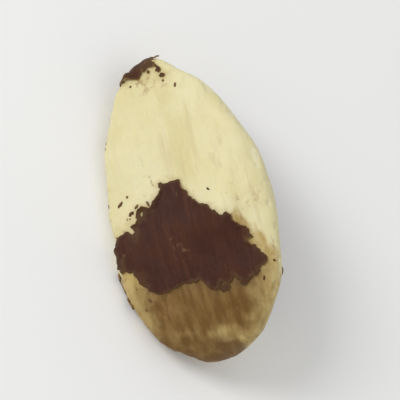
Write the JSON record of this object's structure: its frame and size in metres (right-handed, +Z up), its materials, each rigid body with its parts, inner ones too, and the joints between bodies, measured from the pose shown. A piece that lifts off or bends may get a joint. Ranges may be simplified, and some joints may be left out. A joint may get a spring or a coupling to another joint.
{
  "type": "shelled brazil nut",
  "caption": "Shelled Brazil nut kernel, lying on its flat under face: three-sided, pointed at one end and blunt at the other, with torn patches of brown skin on pale flesh.",
  "frame": {"origin": "on the surface that the nut rests on, under the middle of its bounding box", "axes": "+X along the nut to its blunt end, +Z up, -Y to the front, towards the nut's thin inner edge"},
  "size_m": [0.036, 0.0186, 0.0147],
  "materials": {
    "flesh": "satin, slightly waxy, pale ivory nut flesh",
    "skin": "satin, dark purple-brown nut skin, torn at its edges"
  },
  "bodies": {
    "root": {"nut": "flesh"}
  },
  "joints": []
}
